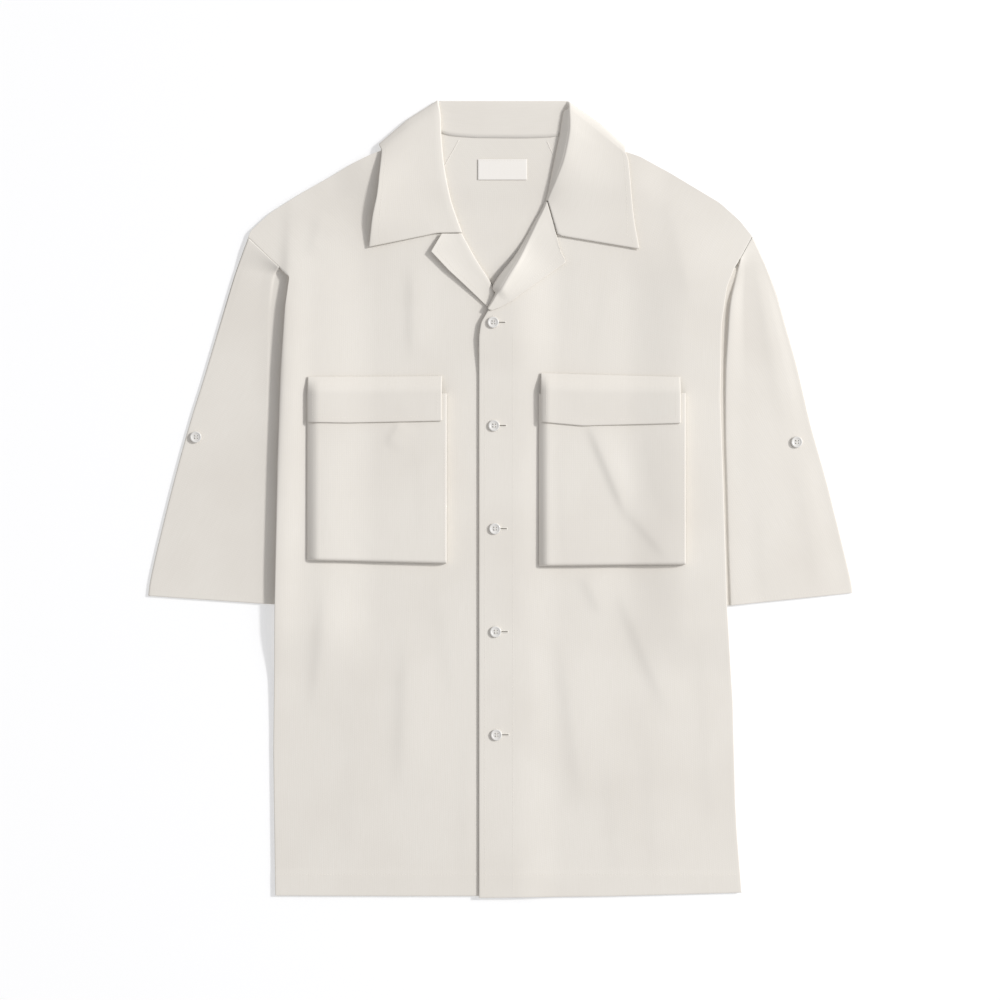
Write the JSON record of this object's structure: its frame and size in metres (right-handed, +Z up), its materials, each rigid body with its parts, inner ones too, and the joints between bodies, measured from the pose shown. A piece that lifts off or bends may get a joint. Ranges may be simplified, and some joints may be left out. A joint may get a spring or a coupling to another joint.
{
  "type": "utility shirt laid flat",
  "caption": "Short-sleeved cotton utility shirt laid flat, with an open camp collar, bellows chest pockets under flaps, a buttoned placket and boxy elbow-length sleeves.",
  "frame": {"origin": "middle of the footprint, on the surface the shirt lies on", "axes": "+Z up from the surface, +Y from the hem to the neck, +X towards the wearer's left sleeve"},
  "size_m": [0.706, 0.7978, 0.017],
  "materials": {
    "shirt_cotton": "off-white cotton poplin, matt",
    "button_shell": "grey pearl shell, satin",
    "label_tape": "bare satin label tape"
  },
  "bodies": {
    "root": {"back": "shirt_cotton", "front_right": "shirt_cotton", "front_left": "shirt_cotton", "collar": "shirt_cotton", "sleeve_right": "shirt_cotton", "sleeve_left": "shirt_cotton", "facing_right": "shirt_cotton", "facing_left": "shirt_cotton", "pocket_right": "shirt_cotton", "pocket_left": "shirt_cotton", "flap_right": "shirt_cotton", "flap_left": "shirt_cotton", "button_front_1": "button_shell", "button_front_2": "button_shell", "button_front_3": "button_shell", "button_front_4": "button_shell", "button_front_5": "button_shell", "button_sleeve_right": "button_shell", "button_sleeve_left": "button_shell", "neck_label": "label_tape"}
  },
  "joints": []
}
